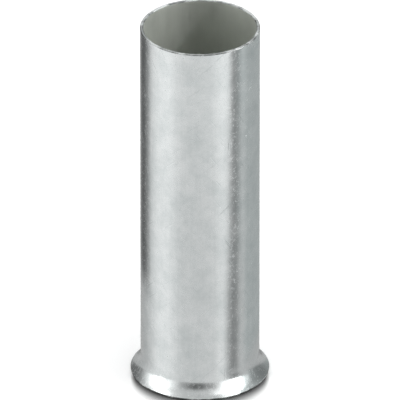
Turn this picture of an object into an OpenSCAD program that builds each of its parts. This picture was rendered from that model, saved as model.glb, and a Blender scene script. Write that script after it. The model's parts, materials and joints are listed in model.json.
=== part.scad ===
// Wire ferrule: one drawn copper tube, tinned all over, with a bell mouth at its foot and a square cut at
// its top. It stands on the bell mouth, with the axis of the barrel along +Z and the floor at z = 0.

/* [Barrel] */
// Bore of the barrel, which takes the stripped strands of the wire
bore_d = 7.3; // [3:0.1:12]
// Thickness of the drawn wall, the same from end to end
wall = 0.2; // [0.15:0.01:0.4]
// Length from the foot of the bell mouth to the cut end
length = 25; // [8:0.5:40]

/* [Bell mouth] */
// How far the lip of the mouth stands out beyond the barrel, on each side
flare_out = 0.65; // [0.1:0.05:0.8]
// Radius of the bend that turns the wall outwards, on its hollow outer face
bend_r = 1.5; // [0.8:0.05:3]

/* [Edges] */
// Radius that breaks the two corners of the wall at each end
edge_r = 0.05; // [0.01:0.01:0.07]

/* [Hidden] */
$fn = 120;

bore_r = bore_d / 2;
// The wall grows outwards from the bore
barrel_r = bore_r + wall;
// Turn of the bend that carries the rounded lip out by flare_out
bend_angle = acos(1 - flare_out / (bend_r + edge_r));
// The lip's inner corner is the foot, at z = 0, and that sets the height where the bend begins
bend_z = edge_r + (bend_r + wall - edge_r) * sin(bend_angle);
// A wedge of this reach covers the whole bend
wedge_reach = 2 * (bend_r + wall);

// Section of the last edge_r of the wall, with both corners rounded. The wall comes up along +Y to the
// origin, lies on the +X side of it, and ends at y = edge_r
module rounded_tip() {
    translate([edge_r, -edge_r])
        square([wall - 2 * edge_r, 2 * edge_r]);
    for (x = [edge_r, wall - edge_r])
        translate([x, 0])
            circle(r = edge_r);
}

// Section of the straight wall, in radius and height, from the bend up to the cut end
module straight_section() {
    translate([bore_r, bend_z])
        square([wall, length - edge_r - bend_z]);
    translate([bore_r, length - edge_r])
        rounded_tip();
}

// Section of the bend and its lip, around the centre of the bend: a ring as thick as the wall, cut down
// to the wedge that the wall turns through on its way down and out
module bend_section() {
    intersection() {
        difference() {
            circle(r = bend_r + wall);
            circle(r = bend_r);
        }
        polygon([
            [0, 0],
            [-wedge_reach, 0],
            [-wedge_reach, -wedge_reach * tan(bend_angle / 2)],
            [-wedge_reach * cos(bend_angle), -wedge_reach * sin(bend_angle)]
        ]);
    }
    rotate(bend_angle)
        translate([-bend_r, 0])
            rotate(180)
                rounded_tip();
}

module ferrule_sleeve() {
    color("silver")
        rotate_extrude() {
            straight_section();
            translate([barrel_r + bend_r, bend_z])
                bend_section();
        }
}

ferrule_sleeve();
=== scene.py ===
import json
import math

import bpy
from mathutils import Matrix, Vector, noise

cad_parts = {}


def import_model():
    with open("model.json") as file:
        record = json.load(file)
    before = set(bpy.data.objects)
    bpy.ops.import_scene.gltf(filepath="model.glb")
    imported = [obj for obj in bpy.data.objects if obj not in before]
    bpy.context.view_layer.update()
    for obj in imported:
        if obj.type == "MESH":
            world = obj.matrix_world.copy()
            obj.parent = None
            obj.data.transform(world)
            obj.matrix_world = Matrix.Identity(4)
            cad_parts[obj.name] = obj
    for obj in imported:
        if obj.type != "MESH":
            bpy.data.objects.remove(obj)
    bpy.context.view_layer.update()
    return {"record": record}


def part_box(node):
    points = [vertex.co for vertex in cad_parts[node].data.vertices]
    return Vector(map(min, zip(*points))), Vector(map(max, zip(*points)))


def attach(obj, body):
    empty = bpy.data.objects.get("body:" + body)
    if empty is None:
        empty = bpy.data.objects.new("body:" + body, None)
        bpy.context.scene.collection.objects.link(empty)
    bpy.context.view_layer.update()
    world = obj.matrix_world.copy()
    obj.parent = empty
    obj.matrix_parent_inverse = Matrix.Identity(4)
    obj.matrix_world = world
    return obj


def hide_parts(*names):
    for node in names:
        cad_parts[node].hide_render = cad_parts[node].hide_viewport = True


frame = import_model()

MM = 0.001
MICRON = 0.001 * MM

# ---------------------------------------------------------------- sizes, all in metres


def mount_radius(name):
    """Radius of one of the record's round mounts."""
    for mount in frame["record"]["mounts"]:
        if mount["name"] == name:
            return mount["dims"]["r_mm"] * MM


BORE_R = mount_radius("conductor_bore")
BARREL_R = mount_radius("barrel_outside")
WALL = BARREL_R - BORE_R
foot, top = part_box("ferrule_sleeve")
LENGTH = top.z - foot.z
MOUTH_R = (top.x - foot.x) / 2

BEND_R = 1.5 * MM          # hollow side of the bend
EDGE_R = 0.05 * MM         # broken corners of both ends
BEND_ANGLE = math.acos(1 - (MOUTH_R - BARREL_R) / (BEND_R + EDGE_R))
BEND_Z = EDGE_R + (BEND_R + WALL - EDGE_R) * math.sin(BEND_ANGLE)

# How far the wall strays from its true section, as (depth, spacing of the bumps)
WALL_WAVE = (0.006 * MM, 4 * MM)       # all over
MOUTH_WAVE = (0.012 * MM, 2.5 * MM)    # towards the lip of the mouth
CUT_WAVE = (0.015 * MM, 0.9 * MM)      # up and down, at the cut top
BURR_WAVE = (0.008 * MM, 0.4 * MM)     # of the burr at the cut top, which stands off by the same depth
BURR_REACH = 0.15 * MM                 # how far down from the top the last two reach

SEGMENTS = 360             # round the sleeve
WALL_RINGS = 70            # along the straight wall, on each face
BEND_RINGS = 22            # along the bend, on each face
CORNER_RINGS = 5           # round each broken corner
CUT_RINGS = 3              # across each cut end

# Material slots of the sleeve's mesh; the burr slot on the broken corners carries painted shade
PLATE, BORE, CUT, BURR_AND_SHADE = range(4)


# ---------------------------------------------------------------- objects


def placed(name, data):
    """A new object in the scene, made of the given mesh, lamp or camera."""
    made = bpy.data.objects.new(name, data)
    bpy.context.scene.collection.objects.link(made)
    return made


def direction_to(bearing, elevation):
    """Unit vector from the ferrule, by bearing from the camera's side and elevation, both in degrees."""
    turn = math.radians(bearing)
    rise = math.radians(elevation)
    return Vector((math.sin(turn) * math.cos(rise), -math.cos(turn) * math.cos(rise), math.sin(rise)))


def face_axis(made, height, direction, distance):
    """Stands a lamp or camera off from a height on the axis and turns it towards that point."""
    made.location = Vector((0, 0, height)) + direction * distance
    made.rotation_mode = "QUATERNION"
    made.rotation_quaternion = (-direction).to_track_quat("-Z", "Y")


# ---------------------------------------------------------------- the sleeve's mesh


def arc(centre, radius, start, end, steps):
    """Points on an arc in radius and height, from one angle to another, in radians."""
    points = []
    for i in range(steps + 1):
        angle = start + (end - start) * i / steps
        points.append((centre[0] + radius * math.cos(angle), centre[1] + radius * math.sin(angle)))
    return points


def line(start, end, steps):
    """Points between two ends, without the ends."""
    points = []
    for i in range(1, steps):
        t = i / steps
        points.append((start[0] + (end[0] - start[0]) * t, start[1] + (end[1] - start[1]) * t))
    return points


def section():
    """Closed section of the wall, in radius and height, with the material slot of each point.

    It runs down the outside, round the lip, up the bore and over the top.
    """
    quarter = math.pi / 2
    bend_centre = (BARREL_R + BEND_R, BEND_Z)
    towards_lip = math.pi + BEND_ANGLE
    bevel = BEND_ANGLE - quarter

    def lip_corner(distance):
        return (
            bend_centre[0] + distance * math.cos(towards_lip),
            bend_centre[1] + distance * math.sin(towards_lip),
        )

    outer_top = arc((BARREL_R - EDGE_R, LENGTH - EDGE_R), EDGE_R, quarter, 0, CORNER_RINGS)
    outer_bend = arc(bend_centre, BEND_R, math.pi, towards_lip, BEND_RINGS)
    lip_outer = arc(lip_corner(BEND_R + EDGE_R), EDGE_R, BEND_ANGLE, bevel, CORNER_RINGS)
    lip_inner = arc(lip_corner(BEND_R + WALL - EDGE_R), EDGE_R, bevel, bevel - quarter, CORNER_RINGS)
    inner_bend = arc(bend_centre, BEND_R + WALL, towards_lip, math.pi, BEND_RINGS)
    inner_top = arc((BORE_R + EDGE_R, LENGTH - EDGE_R), EDGE_R, 2 * quarter, quarter, CORNER_RINGS)
    stretches = [
        (PLATE, outer_top[-1:] + line(outer_top[-1], outer_bend[0], WALL_RINGS) + outer_bend[:-1]),
        (BURR_AND_SHADE, lip_outer[:-1]),
        (CUT, lip_outer[-1:] + line(lip_outer[-1], lip_inner[0], CUT_RINGS)),
        (BURR_AND_SHADE, lip_inner[:-1]),
        (BORE, inner_bend + line(inner_bend[-1], inner_top[0], WALL_RINGS)),
        (BURR_AND_SHADE, inner_top[:-1]),
        (CUT, inner_top[-1:] + line(inner_top[-1], outer_top[0], CUT_RINGS)),
        (BURR_AND_SHADE, outer_top[:-1]),
    ]
    return [(slot, radius, height) for slot, points in stretches for radius, height in points]


def uneven(place, wave):
    """Smooth, repeatable unevenness at a place, for a wave of (depth, spacing of the bumps)."""
    depth, spacing = wave
    return depth * noise.noise(place / spacing)


def worn(radius, turn, height):
    """A point of the sleeve as drawn, cut and handled: a little off the true section."""
    ideal = Vector((radius * math.cos(turn), radius * math.sin(turn), height))
    radius += uneven(ideal, WALL_WAVE)
    near_cut = max(0, 1 - (LENGTH - height) / BURR_REACH)
    outwards = 1 if radius > (BORE_R + BARREL_R) / 2 else -1
    radius += near_cut * outwards * (BURR_WAVE[0] + uneven(ideal, BURR_WAVE))
    height += near_cut * uneven(ideal, CUT_WAVE)
    if height < BEND_Z:
        radius += (1 - height / BEND_Z) * uneven(ideal, MOUTH_WAVE)
    return (radius * math.cos(turn), radius * math.sin(turn), height)


def quads(ring_count):
    """Faces between each ring of points and the next, the last ring joined to the first."""
    faces = []
    for ring in range(ring_count):
        here = ring * SEGMENTS
        there = (ring + 1) % ring_count * SEGMENTS
        for i in range(SEGMENTS):
            j = (i + 1) % SEGMENTS
            faces.append((here + i, there + i, there + j, here + j))
    return faces


def sleeve():
    """The whole ferrule as one closed, smooth mesh."""
    rings = section()
    verts = []
    for _, radius, height in rings:
        for i in range(SEGMENTS):
            verts.append(worn(radius, 2 * math.pi * i / SEGMENTS, height))
    mesh = bpy.data.meshes.new("sleeve")
    mesh.from_pydata(verts, [], quads(len(rings)))
    mesh.shade_smooth()
    for face in mesh.polygons:
        face.material_index = rings[face.index // SEGMENTS][0]
    return placed("sleeve", mesh)


# ---------------------------------------------------------------- node helpers


def shader(name):
    """A new material, its node tree and its Principled shader."""
    material = bpy.data.materials.new(name)
    material.use_nodes = True
    return material, material.node_tree, material.node_tree.nodes["Principled BSDF"]


def node(tree, kind, **settings):
    """A new node with its settings."""
    made = tree.nodes.new(kind)
    for key, value in settings.items():
        setattr(made, key, value)
    return made


def axes(tree, vector):
    """The X, Y and Z of a vector, by name."""
    made = node(tree, "ShaderNodeSeparateXYZ")
    tree.links.new(vector, made.inputs[0])
    return made.outputs


def math_node(tree, operation, *values, clamp=False):
    """A Math node; each value is a number or another node's output."""
    made = node(tree, "ShaderNodeMath", operation=operation, use_clamp=clamp)
    for socket, value in zip(made.inputs, values):
        if isinstance(value, (int, float)):
            socket.default_value = value
        else:
            tree.links.new(value, socket)
    return made.outputs[0]


def chained(tree, operation, first, *others):
    """One operation through a row of outputs, such as their product or the largest of them."""
    result = first
    for other in others:
        result = math_node(tree, operation, result, other)
    return result


def added(tree, *terms, total=0.0):
    """A number plus the sum of (output, factor) pairs, each multiplied out."""
    for output, factor in terms:
        total = math_node(tree, "MULTIPLY_ADD", output, factor, total)
    return total


def ease(tree, value, start, end, low=0.0, high=1.0):
    """Goes smoothly from low to high as value goes from start to end."""
    made = node(tree, "ShaderNodeMapRange", interpolation_type="SMOOTHSTEP")
    tree.links.new(value, made.inputs["Value"])
    for name, number in (("From Min", start), ("From Max", end), ("To Min", low), ("To Max", high)):
        made.inputs[name].default_value = number
    return made.outputs["Result"]


def mix_colours(tree, factor, low, high):
    """Blends two colours; each is another node's output, a grey level or a colour."""
    made = node(tree, "ShaderNodeMix", data_type="RGBA")
    tree.links.new(factor, made.inputs["Factor"])
    for socket, value in ((made.inputs[6], low), (made.inputs[7], high)):
        if isinstance(value, float):
            socket.default_value = (value, value, value, 1)
        elif isinstance(value, tuple):
            socket.default_value = value
        else:
            tree.links.new(value, socket)
    return made.outputs[2]


def mix_shaders(tree, factor, low, high):
    """Blends two shaders, from the first at 0 to the second at 1."""
    made = node(tree, "ShaderNodeMixShader")
    tree.links.new(factor, made.inputs[0])
    tree.links.new(low, made.inputs[1])
    tree.links.new(high, made.inputs[2])
    return made.outputs[0]


# ---------------------------------------------------------------- materials

TIN_DULL = (0.64, 0.69, 0.69, 1)
TIN_BRIGHT = (0.86, 0.89, 0.89, 1)
BORE_DULL = (0.57, 0.59, 0.55, 1)
BORE_BRIGHT = (0.71, 0.73, 0.685, 1)
MARK_EDGE = (0.2, 0.5)     # where a mark fades and ends, from its middle, as a share of its size


def in_mm(tree, height_scale=1):
    """Place on the piece in millimetres; a height scale below 1 draws a pattern out upwards."""
    made = node(tree, "ShaderNodeMapping", vector_type="POINT")
    made.inputs["Scale"].default_value = (1 / MM, 1 / MM, height_scale / MM)
    tree.links.new(node(tree, "ShaderNodeTexCoord").outputs["Object"], made.inputs["Vector"])
    return made.outputs["Vector"]


def unrolled(tree):
    """Place on the wall laid flat, in millimetres: round the barrel, then up it."""
    place = axes(tree, in_mm(tree))
    turn = math_node(tree, "ARCTAN2", place["X"], place["Y"])
    flat = node(tree, "ShaderNodeCombineXYZ")
    tree.links.new(math_node(tree, "MULTIPLY", turn, BARREL_R / MM), flat.inputs["X"])
    tree.links.new(place["Z"], flat.inputs["Y"])
    return flat.outputs[0]


def grain(tree, place, size, detail, roughness=0.5):
    """Cloudy noise from 0 to 1, with clouds of the given size."""
    made = node(tree, "ShaderNodeTexNoise")
    tree.links.new(place, made.inputs["Vector"])
    made.inputs["Scale"].default_value = 1 / size
    made.inputs["Detail"].default_value = detail
    made.inputs["Roughness"].default_value = roughness
    return made.outputs["Fac"]


def marks(tree, place, lean, width, length, share):
    """Short straight marks, 1 on a mark and 0 elsewhere, on a share of the places where one could be."""
    turned = node(tree, "ShaderNodeMapping", vector_type="TEXTURE")
    turned.inputs["Rotation"].default_value = (0, 0, math.radians(lean))
    turned.inputs["Scale"].default_value = (width, length, 1)
    tree.links.new(place, turned.inputs["Vector"])
    cells = node(tree, "ShaderNodeTexVoronoi", voronoi_dimensions="2D")
    tree.links.new(turned.outputs["Vector"], cells.inputs["Vector"])
    cells.inputs["Scale"].default_value = 1
    lot = node(tree, "ShaderNodeSeparateColor")
    tree.links.new(cells.outputs["Color"], lot.inputs[0])
    drawn = math_node(tree, "LESS_THAN", lot.outputs["Red"], share)
    faded = ease(tree, cells.outputs["Distance"], *MARK_EDGE, low=1.0, high=0.0)
    return math_node(tree, "MULTIPLY", drawn, faded)


def relief(tree, principled, height):
    """Bump from a height in micrometres."""
    bump = node(tree, "ShaderNodeBump")
    bump.inputs["Distance"].default_value = MICRON
    tree.links.new(height, bump.inputs["Height"])
    tree.links.new(bump.outputs["Normal"], principled.inputs["Normal"])


def metal(tree, principled, colour, roughness):
    """Makes a shader metallic, with a colour and a roughness that vary over it."""
    tree.links.new(colour, principled.inputs["Base Color"])
    tree.links.new(roughness, principled.inputs["Roughness"])
    principled.inputs["Metallic"].default_value = 1.0


def tin_plate():
    """Satin tin over drawn copper: clouded, with fine drawing lines, matte specks and a few small marks."""
    material, tree, principled = shader("tin_plate")
    place = in_mm(tree)
    flat = unrolled(tree)
    waves = grain(tree, place, size=0.9, detail=1)
    clouds = grain(tree, place, size=1.4, detail=3, roughness=0.75)
    lines = grain(tree, in_mm(tree, height_scale=0.04), size=0.16, detail=2)
    specks = ease(tree, grain(tree, place, size=0.18, detail=1), 0.56, 0.68)
    leaning = marks(tree, flat, lean=52, width=0.09, length=1.6, share=0.015)
    crossing = marks(tree, flat, lean=-35, width=0.08, length=1.1, share=0.02)
    upright = marks(tree, flat, lean=4, width=0.10, length=1.2, share=0.02)
    relief(tree, principled, added(
        tree, (waves, 10.0), (lines, 1.0), (specks, 0.4),
        (leaning, -3.0), (crossing, -3.0), (upright, -2.0)))
    tone = added(tree, (clouds, 1.8), (lines, 0.3), (leaning, -0.2), (crossing, -0.2), total=-0.3)
    colour = mix_colours(tree, tone, TIN_DULL, TIN_BRIGHT)
    roughness = added(tree, (clouds, 0.12), (waves, 0.12), (lines, 0.08), (specks, 0.12))
    metal(tree, principled, colour, roughness)
    return material


def tin_bore():
    """The same tin inside the tube, where the drawing mandrel left it duller and streaked."""
    material, tree, principled = shader("tin_bore")
    clouds = grain(tree, in_mm(tree), size=1.6, detail=3)
    lines = grain(tree, in_mm(tree, height_scale=0.08), size=0.2, detail=2)
    relief(tree, principled, added(tree, (clouds, 6.0), (lines, 0.3)))
    colour = mix_colours(tree, clouds, BORE_DULL, BORE_BRIGHT)
    roughness = ease(tree, lines, 0.3, 0.7, low=0.54, high=0.59)
    metal(tree, principled, colour, roughness)
    return material


def tinted(level, red):
    """A grey of the given level with its share of red, and a touch less blue than green."""
    return (level * red, level, level * 0.99, 1)


def cut_metal(name, low, high, roughness, depth):
    """Torn, patchy metal between two grey levels, with its least roughness and its depth in micrometres."""
    material, tree, principled = shader(name)
    place = in_mm(tree)
    patches = grain(tree, place, size=1.5, detail=4, roughness=0.7)
    torn = grain(tree, place, size=0.12, detail=2)
    relief(tree, principled, added(tree, (patches, depth), (torn, depth)))
    bright = ease(tree, patches, 0.40, 0.62)
    colour = mix_colours(tree, bright, tinted(low, red=0.96), tinted(high, red=0.97))
    rough = ease(tree, torn, 0.3, 0.7, low=roughness, high=roughness + 0.15)
    metal(tree, principled, colour, rough)
    return material


# ---------------------------------------------------------------- the room that the tin mirrors

# Brightness by bearing, in degrees from the camera's side and positive to its right
FAR_TABLE = [
    (-180, 0.42), (-158, 0.26), (-147, 0.12), (-138, 0.12), (-130, 0.18), (-122, 0.28), (-115, 0.45),
    (-108, 0.64), (-101, 0.77), (-90, 0.87), (-70, 0.92), (-60, 0.92), (-46, 0.77), (-28, 0.71), (-8, 0.70),
    (20, 0.74), (38, 0.88), (46, 0.93), (56, 0.91), (63, 0.50), (70, 0.28), (78, 0.32), (90, 0.54),
    (105, 0.44), (150, 0.42), (178, 0.42),
]
NEAR_TABLE = [
    (-180, 0.44), (-157, 0.44), (-138, 0.48), (-122, 0.58), (-109, 0.66), (-100, 0.76), (-90, 0.83),
    (-66, 0.84), (-49, 0.72), (-33, 0.63), (0, 0.62), (28, 0.65), (38, 0.76), (46, 0.77), (51, 0.64),
    (56, 0.48), (61, 0.33), (67, 0.24), (73, 0.26), (79, 0.35), (85, 0.49), (92, 0.54), (105, 0.48),
    (135, 0.45), (165, 0.46),
]
WALLS = [
    (-180, 0.70), (-160, 0.38), (-145, 0.14), (-127, 0.20), (-114, 0.50), (-102, 1.1), (-92, 1.6),
    (-84, 3.0), (-70, 3.0), (-62, 1.5), (-50, 1.0), (-37, 0.50), (-22, 0.24), (-9, 0.12), (4, 0.16),
    (20, 0.34), (31, 0.60), (38, 1.1), (45, 1.5), (54, 1.6), (62, 4.0), (74, 4.0), (82, 1.5), (92, 0.75),
    (102, 0.34), (116, 0.23), (135, 0.19), (152, 0.32), (168, 0.60),
]
EAVES = [
    (-180, 0.90), (-150, 0.60), (-132, 0.45), (-120, 0.55), (-108, 0.90), (-98, 1.6), (-90, 3.0),
    (-80, 3.0), (-74, 1.6), (-66, 1.0), (-55, 0.70), (-37, 0.60), (-7, 0.53), (20, 0.58), (27, 0.80),
    (33, 1.0), (43, 1.3), (56, 1.6), (62, 5.0), (78, 5.0), (86, 1.5), (96, 0.60), (114, 0.45),
    (128, 0.40), (152, 0.60),
]
CEILING = [
    (-180, 0.60), (-112, 0.70), (-96, 1.1), (-86, 0.80), (-50, 0.58), (0, 0.52), (50, 0.60), (74, 0.85),
    (82, 1.3), (92, 4.0), (102, 4.0), (112, 0.80), (150, 0.55),
]
COOL_FROM = 75             # bearing from which the room on the right is a little cooler
COOL_RED = 0.955           # its share of red

# Elevations in degrees over which one ring of the room goes over into the next
TABLE_TO_WALLS = (-24, 14)
TABLE_TO_LOW_WALL = (-27, -12)
WALLS_TO_EAVES = (20, 46)
EAVES_TO_CEILING = (52, 64)

# Bearings in degrees over which something begins or ends
LEFT_PANEL_ENDS = (-119, -108)
DARK_GAP_BEGINS = (43, 50)
RIGHT_PANEL_ENDS = (94, 104)
LOW_WALL_ENDS = (158, 173)

# Grey levels of the plain world
TABLE_SEES = 0.8
CAMERA_SEES = 1.0


def at(degrees):
    """A bearing as compass gives it: 0 to 1 for -180 to 180 degrees."""
    return degrees / 360 + 0.5


def compass(tree, vector):
    """Bearing of a vector from the camera's side, positive to its right, as 0 to 1."""
    place = axes(tree, vector)
    towards_camera = math_node(tree, "MULTIPLY", place["Y"], -1.0)
    turn = math_node(tree, "ARCTAN2", place["X"], towards_camera)
    return math_node(tree, "MULTIPLY_ADD", turn, 0.5 / math.pi, 0.5)


def past(tree, bearing, band):
    """0 before a band of bearings and 1 past it."""
    return ease(tree, bearing, at(band[0]), at(band[1]))


def before(tree, bearing, band):
    """1 before a band of bearings and 0 past it."""
    return ease(tree, bearing, at(band[0]), at(band[1]), low=1.0, high=0.0)


def ring_ramp(tree, bearing, stops):
    """Brightness round the room, from stops of (bearing in degrees, brightness)."""
    ramp = node(tree, "ShaderNodeValToRGB")
    elements = ramp.color_ramp.elements
    while len(elements) < len(stops):
        elements.new(0.5)
    for element, (degrees, level) in zip(elements, stops):
        red = COOL_RED if degrees > COOL_FROM else 1.0
        element.position = at(degrees)
        element.color = (level * red, level, level, 1)
    tree.links.new(bearing, ramp.inputs["Fac"])
    return ramp.outputs["Color"]


def room(tree, direction):
    """Colour of the room by direction: far table, walls, eaves and ceiling, ring over ring."""
    bearing = compass(tree, direction)
    rise = math_node(tree, "ARCSINE", axes(tree, direction)["Z"])
    elevation = math_node(tree, "MULTIPLY", rise, 180 / math.pi)
    # Beside the panel on the right the dim wall comes down lower, to the table
    low_wall = chained(
        tree, "MULTIPLY", past(tree, bearing, RIGHT_PANEL_ENDS), before(tree, bearing, LOW_WALL_ENDS),
        ease(tree, elevation, *TABLE_TO_LOW_WALL))
    above_table = math_node(tree, "MAXIMUM", ease(tree, elevation, *TABLE_TO_WALLS), low_wall)
    table = ring_ramp(tree, bearing, FAR_TABLE)
    walls = ring_ramp(tree, bearing, WALLS)
    eaves = ring_ramp(tree, bearing, EAVES)
    ceiling = ring_ramp(tree, bearing, CEILING)
    colour = mix_colours(tree, above_table, table, walls)
    colour = mix_colours(tree, ease(tree, elevation, *WALLS_TO_EAVES), colour, eaves)
    return mix_colours(tree, ease(tree, elevation, *EAVES_TO_CEILING), colour, ceiling)


def studio_world():
    """The room as the tin mirrors it; the camera and the table see a plain, pale world instead."""
    world = bpy.data.worlds.new("studio")
    bpy.context.scene.world = world
    world.use_nodes = True
    tree = world.node_tree
    mirrored = tree.nodes["Background"]
    direction = node(tree, "ShaderNodeTexCoord").outputs["Generated"]
    tree.links.new(room(tree, direction), mirrored.inputs["Color"])
    plain = node(tree, "ShaderNodeBackground")
    rays = node(tree, "ShaderNodeLightPath").outputs
    grey = mix_colours(tree, rays["Is Camera Ray"], TABLE_SEES, CAMERA_SEES)
    tree.links.new(grey, plain.inputs["Color"])
    use_plain = math_node(tree, "MAXIMUM", rays["Is Camera Ray"], rays["Is Diffuse Ray"])
    seen = mix_shaders(tree, use_plain, mirrored.outputs[0], plain.outputs[0])
    tree.links.new(seen, tree.nodes["World Output"].inputs["Surface"])


# ---------------------------------------------------------------- table

FLOOR_HALF = 3.0                   # half the floor's width, in metres
FLOOR_GREY = 0.94
SHADOW_GREY = 0.10
MOUTH_MM = MOUTH_R / MM

# Where the contact shadow in front of the mouth fades out, in millimetres
SHADOW_AHEAD = (-0.1, 1.7)                         # in front of the mouth's edge
SHADOW_BESIDE = (MOUTH_MM - 0.4, MOUTH_MM + 0.4)   # to each side of the axis
SHADOW_BEHIND = (-1.5, 0.0)                        # towards the back, from the axis

# Distances from the axis, in millimetres, over which the mirrored table changes
SHADE_ENDS = (MOUTH_MM - 0.05, MOUTH_MM + 0.7)     # out of the shade under the lip
FOOT_ENDS = (MOUTH_MM + 1, MOUTH_MM + 4)           # out of the lit ring round the foot
FAR_ON_RIGHT = (MOUTH_MM + 1.5, MOUTH_MM + 4)      # into the far table, beyond the panel on the right
FAR_ON_LEFT = (12.5, 17.5)                         # the same, beyond the panel on the left
FAR_ALL_ROUND = (22, 50)                           # the same, all round
FAR_IN_GAP = (14, 27)                              # part of the way, from the dark gap on the right on
FAR_SHARE_IN_GAP = 0.52

MIRRORED_HALF = (FAR_ALL_ROUND[1] + 2) * MM        # half the width of the mirrored table
MIRRORED_SINK = 0.02 * MM                          # how far it lies below the floor
FOOT_LEVEL = 0.47                                  # its least brightness in the lit ring
SHADE_LEVEL = 0.05                                 # and its brightness under the lip


def plate(name, half, height):
    """A square, flat plate round the axis."""
    mesh = bpy.data.meshes.new(name)
    corners = [(-half, -half, height), (half, -half, height), (half, half, height), (-half, half, height)]
    mesh.from_pydata(corners, [], [(0, 1, 2, 3)])
    made = placed(name, mesh)
    return made


def ahead_of_mouth(tree, across, back):
    """How far a point of the table lies in front of the mouth's edge, in millimetres."""
    across_squared = math_node(tree, "MULTIPLY", across, across)
    depth_squared = math_node(tree, "SUBTRACT", MOUTH_MM ** 2, across_squared)
    edge = math_node(tree, "SQRT", math_node(tree, "MAXIMUM", depth_squared, 0.0))
    return math_node(tree, "SUBTRACT", math_node(tree, "MULTIPLY", back, -1.0), edge)


def floor():
    """The pale table top, which the camera sees but the tin doesn't."""
    made = plate("floor", FLOOR_HALF, 0)
    material, tree, principled = shader("floor")
    place = axes(tree, in_mm(tree))
    ahead = ahead_of_mouth(tree, place["X"], place["Y"])
    aside = math_node(tree, "ABSOLUTE", place["X"])
    shadow = chained(
        tree, "MULTIPLY",
        ease(tree, ahead, *SHADOW_AHEAD, low=1.0, high=0.0),
        ease(tree, aside, *SHADOW_BESIDE, low=1.0, high=0.0),
        ease(tree, place["Y"], *SHADOW_BEHIND, low=1.0, high=0.0))
    colour = mix_colours(tree, shadow, FLOOR_GREY, SHADOW_GREY)
    tree.links.new(colour, principled.inputs["Base Color"])
    principled.inputs["Roughness"].default_value = 0.9
    made.data.materials.append(material)
    made.visible_glossy = False
    made.visible_shadow = False


def mirrored_bearing(tree, place, radius):
    """Bearing at which the wall mirrors a point of the table.

    The wall mirrors a near point less far round than a distant one: half its own radius over the point's.
    """
    turn = math_node(tree, "SUBTRACT", compass(tree, place), at(0))
    lag = math_node(tree, "DIVIDE", BARREL_R / 2, radius)
    spread = math_node(tree, "DIVIDE", turn, math_node(tree, "SUBTRACT", 1.0, lag))
    return math_node(tree, "ADD", spread, at(0), clamp=True)


def near_table(tree, bearing, reach):
    """Light of the table near by, by bearing, with the contact shadow at the foot."""
    glow = node(tree, "ShaderNodeEmission")
    around_foot = ease(tree, reach, *FOOT_ENDS, low=FOOT_LEVEL, high=0.0)
    level = math_node(tree, "MAXIMUM", ring_ramp(tree, bearing, NEAR_TABLE), around_foot)
    tree.links.new(level, glow.inputs["Color"])
    out_of_shade = ease(tree, reach, *SHADE_ENDS, low=SHADE_LEVEL, high=1.0)
    tree.links.new(out_of_shade, glow.inputs["Strength"])
    return glow.outputs[0]


def far_share(tree, bearing, reach):
    """How much of the far table shows through: all of it far out, and sooner beyond both panels."""
    all_round = ease(tree, reach, *FAR_ALL_ROUND)
    on_left = math_node(
        tree, "MULTIPLY", ease(tree, reach, *FAR_ON_LEFT), before(tree, bearing, LEFT_PANEL_ENDS))
    on_right = math_node(
        tree, "MULTIPLY", ease(tree, reach, *FAR_ON_RIGHT), past(tree, bearing, RIGHT_PANEL_ENDS))
    # The far table's dark gap begins farther round, so the gap's edge drifts outwards
    in_gap = math_node(
        tree, "MULTIPLY", ease(tree, reach, *FAR_IN_GAP, high=FAR_SHARE_IN_GAP),
        past(tree, bearing, DARK_GAP_BEGINS))
    return chained(tree, "MAXIMUM", all_round, on_left, in_gap, on_right)


def table_reflection():
    """The table near the ferrule as the tin mirrors it, with the far table of the room beyond it."""
    made = plate("table_reflection", MIRRORED_HALF, -MIRRORED_SINK)
    material, tree, principled = shader("table_reflection")
    tree.nodes.remove(principled)
    place = node(tree, "ShaderNodeTexCoord").outputs["Object"]
    from_axis = node(tree, "ShaderNodeVectorMath", operation="LENGTH")
    tree.links.new(place, from_axis.inputs[0])
    radius = from_axis.outputs["Value"]
    reach = math_node(tree, "DIVIDE", radius, MM)
    bearing = mirrored_bearing(tree, place, radius)
    clear = node(tree, "ShaderNodeBsdfTransparent")
    seen = mix_shaders(
        tree, far_share(tree, bearing, reach), near_table(tree, bearing, reach), clear.outputs[0])
    tree.links.new(seen, tree.nodes["Material Output"].inputs["Surface"])
    made.data.materials.append(material)
    made.visible_camera = False
    made.visible_diffuse = False
    made.visible_shadow = False


# ---------------------------------------------------------------- lamps

OVERHEAD_SIZE = 0.8
OVERHEAD_HEIGHT = 0.6
OVERHEAD_WATTS = 2.1

BORE_LIGHT_BEARING = 75            # in degrees, as round the room
BORE_LIGHT_ELEVATION = 36
BORE_LIGHT_DISTANCE = 0.3          # from the top of the bore
BORE_LIGHT_POOL = 6.5 * MM         # radius that it lights there
BORE_LIGHT_R = 6 * MM
BORE_LIGHT_WATTS = 2.6


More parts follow.
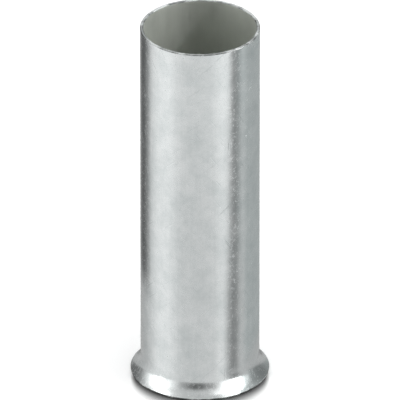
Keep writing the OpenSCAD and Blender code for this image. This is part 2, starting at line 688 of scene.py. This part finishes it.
def overhead_light():
    """A wide panel above, for the table alone: the tin doesn't mirror it."""
    data = bpy.data.lights.new("overhead", "AREA")
    data.size = OVERHEAD_SIZE
    data.energy = OVERHEAD_WATTS
    made = placed("overhead", data)
    made.location = (0, 0, OVERHEAD_HEIGHT)
    made.visible_glossy = False


def bore_light():
    """A narrow spot into the open top from the upper right, which lifts the left side of the bore."""
    data = bpy.data.lights.new("bore_light", "SPOT")
    data.energy = BORE_LIGHT_WATTS
    data.shadow_soft_size = BORE_LIGHT_R
    data.spot_size = 2 * math.atan(BORE_LIGHT_POOL / BORE_LIGHT_DISTANCE)
    data.spot_blend = 0.3
    made = placed("bore_light", data)
    direction = direction_to(BORE_LIGHT_BEARING, BORE_LIGHT_ELEVATION)
    face_axis(made, LENGTH, direction, BORE_LIGHT_DISTANCE)
    made.visible_diffuse = False


# ---------------------------------------------------------------- camera

CAMERA_ELEVATION = 28.5        # degrees above the table
VIEW_WIDTH = 1.032 * LENGTH    # of the picture, at the ferrule
AIM_Z = 0.4952 * LENGTH        # height on the axis at the picture's centre
LENS = 1600                    # in millimetres, as the sensor
SENSOR = 36


def camera():
    """A long lens from the front, looking down on the ferrule."""
    data = bpy.data.cameras.new("camera")
    data.lens = LENS
    data.sensor_width = SENSOR
    distance = VIEW_WIDTH * LENS / SENSOR
    data.clip_start = distance / 10
    data.clip_end = distance * 10
    made = placed("camera", data)
    face_axis(made, AIM_Z, direction_to(0, CAMERA_ELEVATION), distance)
    bpy.context.scene.camera = made


# ---------------------------------------------------------------- scene

camera()
studio_world()
floor()
table_reflection()
overhead_light()
bore_light()
piece = sleeve()
# In the order of the slots PLATE, BORE, CUT and then the burr, whose dark colour is painted shade along the
# broken corners
sleeve_materials = [
    tin_plate(),
    tin_bore(),
    cut_metal("tin_cut", low=0.45, high=1.0, roughness=0.30, depth=6.0),
    # The burr's darkness is painted shade along the broken corners of both ends, laid over its torn patches
    cut_metal("tin_burr_and_shade", low=0.14, high=0.65, roughness=0.60, depth=8.0),
]
for material in sleeve_materials:
    piece.data.materials.append(material)
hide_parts("ferrule_sleeve")
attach(piece, "root")
bpy.context.scene.view_settings.view_transform = "Standard"
